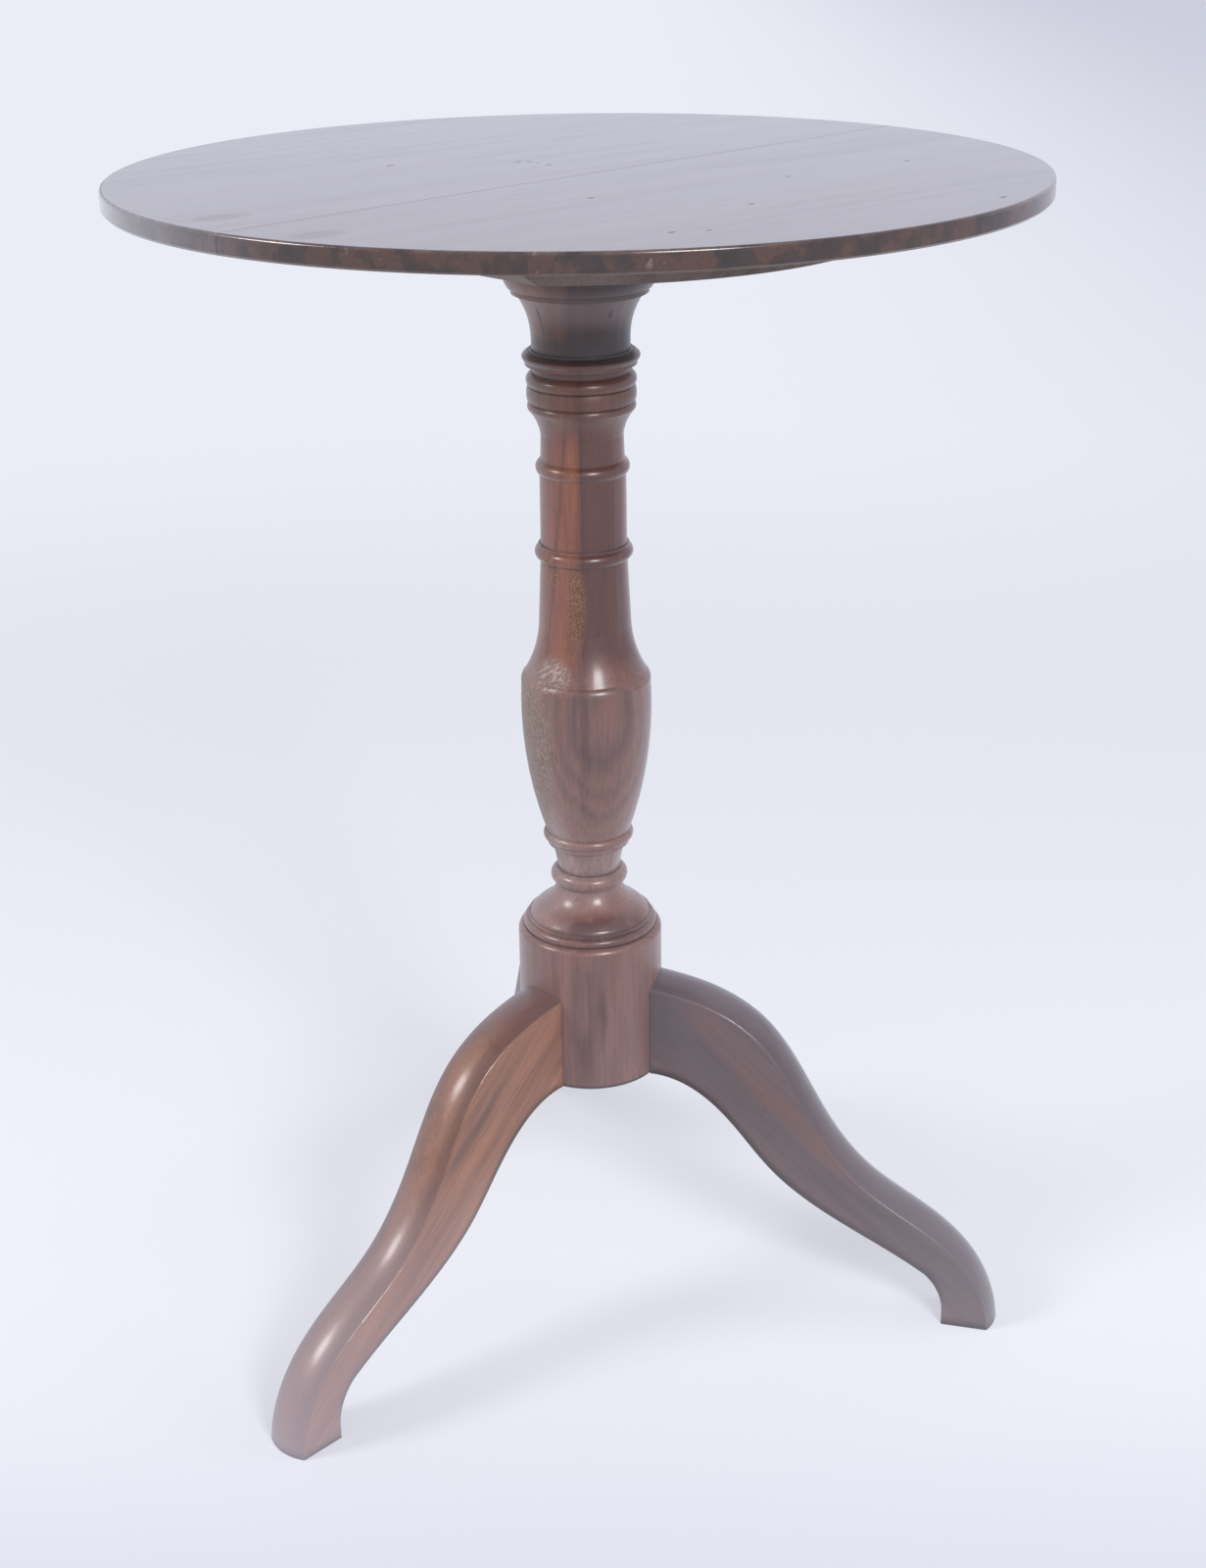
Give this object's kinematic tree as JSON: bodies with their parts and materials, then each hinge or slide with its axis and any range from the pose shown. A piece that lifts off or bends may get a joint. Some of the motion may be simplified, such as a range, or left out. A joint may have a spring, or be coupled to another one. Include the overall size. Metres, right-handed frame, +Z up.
{
  "type": "pedestal side table",
  "caption": "Round wooden side table: a thin board top on a turned column, with curved legs dovetailed into its foot.",
  "frame": {"origin": "on the floor, on the axis of the turned column", "axes": "+Z up along the column; the front leg points along -Y; the boards of the top run along Y"},
  "size_m": [0.5299, 0.5384, 0.734],
  "materials": {
    "top_wood": "polished",
    "plate_wood": "bare",
    "column_wood": "polished",
    "leg_wood": "polished",
    "screw_steel": "plain"
  },
  "bodies": {
    "root": {"top_board_left": "top_wood", "top_board_right": "top_wood", "under_plate": "plate_wood", "plate_screws": "screw_steel", "column": "column_wood", "tenon_wedge": "plate_wood", "leg_front": "leg_wood", "leg_rear_right": "leg_wood", "leg_rear_left": "leg_wood"}
  },
  "joints": []
}
